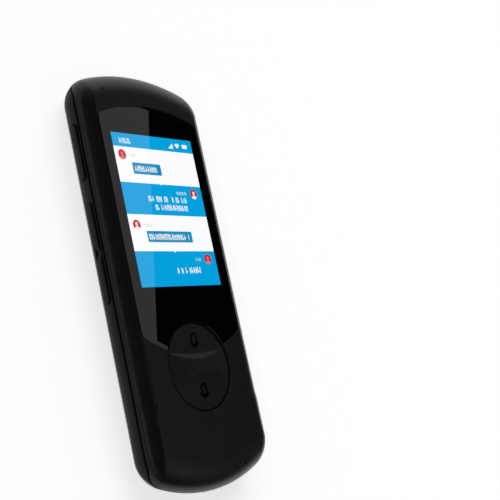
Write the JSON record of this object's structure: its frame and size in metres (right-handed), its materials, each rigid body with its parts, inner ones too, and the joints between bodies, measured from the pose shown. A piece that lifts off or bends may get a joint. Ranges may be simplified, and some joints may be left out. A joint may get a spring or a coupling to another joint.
{
  "type": "handheld voice translator",
  "caption": "Slim pocket voice translator with a colour screen, a round rocking microphone key, side keys and perforated speaker areas on its back.",
  "frame": {"origin": "under the centre of the box around the device, on the plane that its back rests on", "axes": "+Z out of the screen, +Y towards the top end above the screen, +X to the right seen from the front; the side keys are on the -X side"},
  "size_m": [0.0554, 0.133, 0.0119],
  "materials": {
    "shell_front": "fine satin black",
    "shell_rear": "fine satin black",
    "side_bands": "satin black",
    "front_glass": "clear over black print",
    "rear_disc": "gloss black",
    "mic_key": "satin black",
    "side_keys": "satin black",
    "display": "lit picture layer",
    "backlight": "stamped tray",
    "flex": "amber film",
    "connector": "moulded",
    "boards": "solder mask",
    "shields": "stamped can",
    "screws": "zinc plated",
    "inner_plastic": "moulded",
    "battery": "foil pouch",
    "speakers": "moulded box",
    "meshes": "woven dust mesh",
    "rubber": "silicone",
    "switches": "pressed dome",
    "socket": "drawn shell"
  },
  "bodies": {
    "device": {"front_cover": "shell_front", "rear_cover": "shell_rear", "side_band_left": "side_bands", "side_band_right": "side_bands", "cover_glass": "front_glass", "display_panel": "display", "display_backlight": "backlight", "display_flex": "flex", "display_connector": "connector", "rear_disc": "rear_disc", "speaker_mesh_upper": "meshes", "speaker_mesh_lower": "meshes", "speaker_upper": "speakers", "speaker_lower": "speakers", "inner_frame": "inner_plastic", "battery": "battery", "battery_circuit": "boards", "main_board": "boards", "processor_shield": "shields", "radio_shield": "shields", "antenna_board": "boards", "board_screw_1": "screws", "board_screw_2": "screws", "board_screw_3": "screws", "board_screw_4": "screws", "microphone_top": "shields", "microphone_bottom": "shields", "mic_boot_top": "rubber", "mic_boot_bottom": "rubber", "key_carrier": "inner_plastic", "key_pad": "rubber", "mic_switch_upper": "switches", "mic_switch_lower": "switches", "side_switch_board": "flex", "power_switch": "switches", "volume_up_switch": "switches", "volume_down_switch": "switches", "charging_socket": "socket"},
    "round_key": {"mic_key": "mic_key"},
    "power_button": {"power_key": "side_keys"},
    "volume_rocker": {"volume_key": "side_keys"}
  },
  "joints": [
    {"name": "round_key_rock", "type": "hinge", "parent": "device", "child": "round_key", "pos_m": [0, -0.02945, 0.0089], "axis": [1, 0, 0], "range_deg": [-2.5, 2.5], "stiffness_Nm_per_rad": 0.3},
    {"name": "power_button_press", "type": "slide", "parent": "device", "child": "power_button", "axis": [1, 0, 0], "range_m": [0, 0.00035], "stiffness_N_per_m": 5700},
    {"name": "volume_rock", "type": "hinge", "parent": "device", "child": "volume_rocker", "pos_m": [-0.0253, 0.008, 0.0057], "axis": [0, 0, 1], "range_deg": [-1.2, 1.2], "stiffness_Nm_per_rad": 1}
  ]
}
